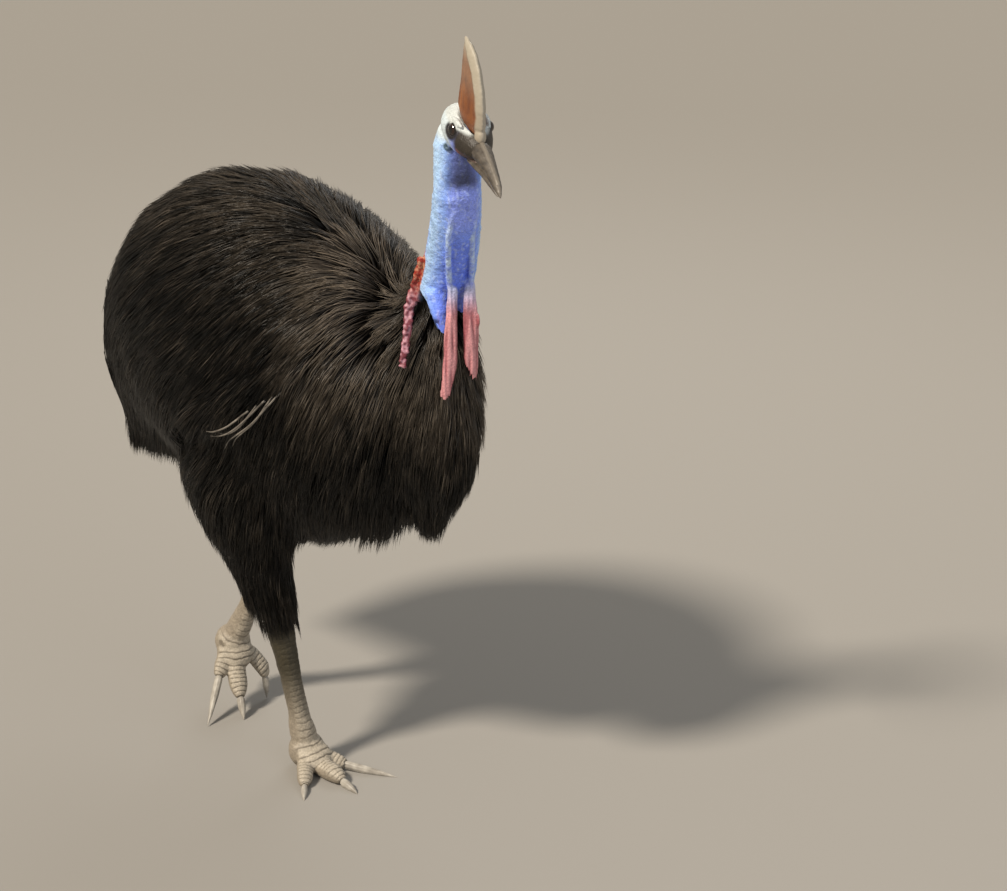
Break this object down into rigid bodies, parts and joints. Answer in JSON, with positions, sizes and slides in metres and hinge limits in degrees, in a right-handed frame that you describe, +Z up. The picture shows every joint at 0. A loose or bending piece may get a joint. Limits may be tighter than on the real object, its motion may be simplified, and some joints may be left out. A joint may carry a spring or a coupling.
{
  "type": "southern cassowary",
  "caption": "Life-size still model of an adult southern cassowary, walking with one foot flat and the other on its toe tips.",
  "frame": {"origin": "on the floor, under the middle of the bird's bounding box", "axes": "+X the way the body heads, +Y to the bird's left, +Z up"},
  "size_m": [1.162, 0.5242, 1.4634],
  "materials": {
    "plumage": "coarse glossy black hair-like feathers",
    "blue_skin": "bare pebbled blue skin",
    "wattle_skin": "bare folded red skin",
    "casque_horn": "brown horn over spongy bone, worn satin",
    "bill_horn": "grey horn, satin",
    "eye": "dark brown glossy eye",
    "leg_scales": "dry grey-brown scaled skin",
    "claw_horn": "pale grey horn, satin"
  },
  "bodies": {
    "root": {"trunk": "plumage", "tail": "plumage", "breast": "plumage", "neck_feathered": "plumage", "wing_left": "plumage", "wing_right": "plumage", "thigh_left": "plumage", "thigh_right": "plumage", "neck_bare": "blue_skin", "head": "blue_skin", "wattle_left": "wattle_skin", "wattle_right": "wattle_skin", "casque": "casque_horn", "bill_upper": "bill_horn", "bill_lower": "bill_horn", "eye_left": "eye", "eye_right": "eye", "shank_left": "leg_scales", "shank_right": "leg_scales", "toe_inner_left": "leg_scales", "toe_middle_left": "leg_scales", "toe_outer_left": "leg_scales", "toe_inner_right": "leg_scales", "toe_middle_right": "leg_scales", "toe_outer_right": "leg_scales", "claw_inner_left": "claw_horn", "claw_middle_left": "claw_horn", "claw_outer_left": "claw_horn", "claw_inner_right": "claw_horn", "claw_middle_right": "claw_horn", "claw_outer_right": "claw_horn"}
  },
  "joints": []
}
